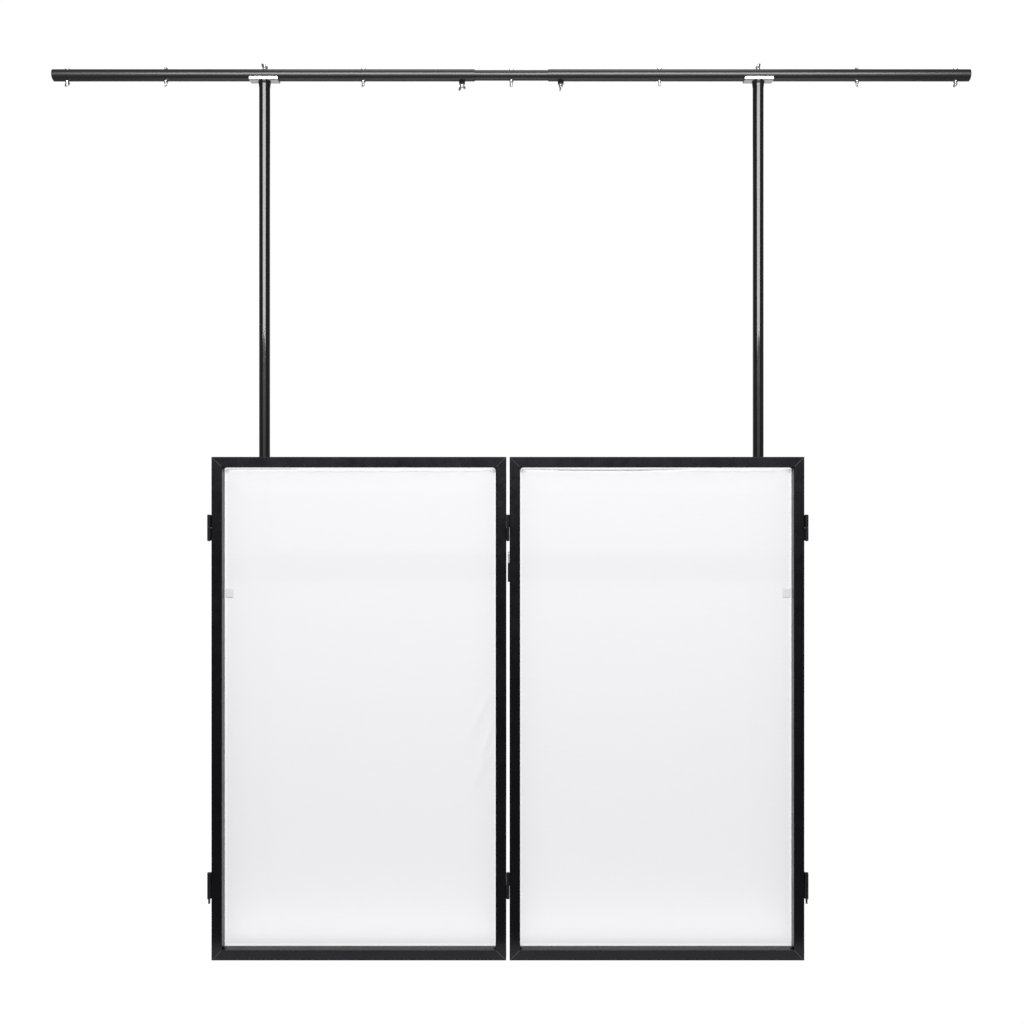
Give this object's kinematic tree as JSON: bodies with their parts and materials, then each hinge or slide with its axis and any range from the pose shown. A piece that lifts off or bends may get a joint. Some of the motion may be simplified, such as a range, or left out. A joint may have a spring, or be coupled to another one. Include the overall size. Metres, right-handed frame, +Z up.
{
  "type": "folding screen booth",
  "caption": "Folding booth of framed white cloth screens with side wings, telescopic posts and an overhead lighting bar carrying hanging bolts.",
  "frame": {"origin": "on the floor, in the middle of the footprint between the front panels and the posts", "axes": "+X to the right seen from the front, +Y to the back, +Z up"},
  "size_m": [2.5664, 0.4785, 2.318],
  "materials": {
    "frame_paint": "black satin powder coat",
    "scrim_cloth": "white stretch cloth",
    "rail_paint": "black satin powder coat",
    "ledge_metal": "grey anodised",
    "zinc": "bright zinc plate",
    "hinge_paint": "black paint",
    "pin_steel": "bright steel",
    "post_paint": "gloss black paint",
    "clip_plastic": "black moulded",
    "knob_plastic": "black moulded",
    "plug_plastic": "black moulded",
    "foot_rubber": "black rubber"
  },
  "bodies": {
    "left_wing": {"left_wing_frame": "frame_paint", "left_wing_scrim": "scrim_cloth", "left_wing_leaves": "hinge_paint", "left_post_clips": "clip_plastic", "left_post": "post_paint", "left_post_foot": "foot_rubber", "left_post_collar": "post_paint"},
    "left_front": {"left_front_stile_outer": "frame_paint", "left_front_stile_inner": "frame_paint", "left_front_rail_top": "frame_paint", "left_front_rail_bottom": "frame_paint", "left_front_scrim": "scrim_cloth", "left_front_gussets": "frame_paint", "left_shelf_rail": "rail_paint", "left_shelf_ledge": "ledge_metal", "left_shelf_brackets": "zinc", "left_corner_knuckles": "hinge_paint", "left_corner_pins": "pin_steel", "centre_lower_knuckles": "hinge_paint", "centre_pins": "pin_steel"},
    "right_front": {"right_front_stile_outer": "frame_paint", "right_front_stile_inner": "frame_paint", "right_front_rail_top": "frame_paint", "right_front_rail_bottom": "frame_paint", "right_front_scrim": "scrim_cloth", "right_front_gussets": "frame_paint", "right_shelf_rail": "rail_paint", "right_shelf_ledge": "ledge_metal", "right_shelf_brackets": "zinc", "right_corner_knuckles": "hinge_paint", "right_corner_pins": "pin_steel", "centre_upper_knuckles": "hinge_paint"},
    "right_wing": {"right_wing_frame": "frame_paint", "right_wing_scrim": "scrim_cloth", "right_wing_leaves": "hinge_paint", "right_post_clips": "clip_plastic"},
    "overhead": {"left_pole": "post_paint", "right_pole": "post_paint", "pole_collars": "post_paint", "saddles": "zinc", "saddle_bolts": "zinc", "saddle_wing_nuts": "zinc", "left_bar_tube": "post_paint", "right_bar_tube": "post_paint", "bar_end_plugs": "plug_plastic", "lock_bosses": "post_paint", "hanging_bolts": "zinc", "hanging_wing_nuts": "zinc"},
    "right_post_tube": {"right_post": "post_paint", "right_post_foot": "foot_rubber", "right_post_collar": "post_paint"},
    "inner_bar": {"inner_bar_tube": "post_paint", "centre_bolt": "zinc", "centre_wing_nut": "zinc"},
    "left_lock": {"left_lock_screw": "zinc"},
    "right_lock": {"right_lock_screw": "zinc"},
    "left_knob": {"left_post_knob": "knob_plastic"},
    "right_knob": {"right_post_knob": "knob_plastic"}
  },
  "joints": [
    {"name": "left_corner_hinge", "type": "hinge", "parent": "left_wing", "child": "left_front", "pos_m": [-0.709, -0.235, 0], "axis": [0, 0, -1], "range_deg": [0, 90]},
    {"name": "centre_hinge", "type": "hinge", "parent": "left_front", "child": "right_front", "pos_m": [0, -0.235, 0], "axis": [0, 0, -1], "range_deg": [0, 176]},
    {"name": "right_corner_hinge", "type": "hinge", "parent": "right_front", "child": "right_wing", "pos_m": [0.709, -0.235, 0], "axis": [0, 0, -1], "range_deg": [0, 90]},
    {"name": "pole_lift", "type": "slide", "parent": "left_wing", "child": "overhead", "axis": [0, 0, 1], "range_m": [0, 0.15]},
    {"name": "right_post_slide", "type": "slide", "parent": "overhead", "child": "right_post_tube", "axis": [0, 0, 1], "range_m": [-0.15, 0]},
    {"name": "inner_bar_slide", "type": "slide", "parent": "overhead", "child": "inner_bar", "axis": [1, 0, 0], "range_m": [-0.08, 0.08]},
    {"name": "left_lock_turn", "type": "hinge", "parent": "overhead", "child": "left_lock", "pos_m": [-0.138, 0.193, 2.265], "axis": [0, 0, 1], "range_deg": [-180, 180]},
    {"name": "right_lock_turn", "type": "hinge", "parent": "overhead", "child": "right_lock", "pos_m": [0.138, 0.193, 2.265], "axis": [0, 0, 1], "range_deg": [-180, 180]},
    {"name": "left_knob_turn", "type": "hinge", "parent": "left_wing", "child": "left_knob", "pos_m": [-0.69, 0.225, 1.055], "axis": [0, 1, 0], "range_deg": [-180, 180]},
    {"name": "right_knob_turn", "type": "hinge", "parent": "right_post_tube", "child": "right_knob", "pos_m": [0.69, 0.225, 1.055], "axis": [0, 1, 0], "range_deg": [-180, 180]}
  ],
  "couplings": [
    {"joint": "right_post_slide", "follows": "pole_lift", "ratio": -1}
  ]
}
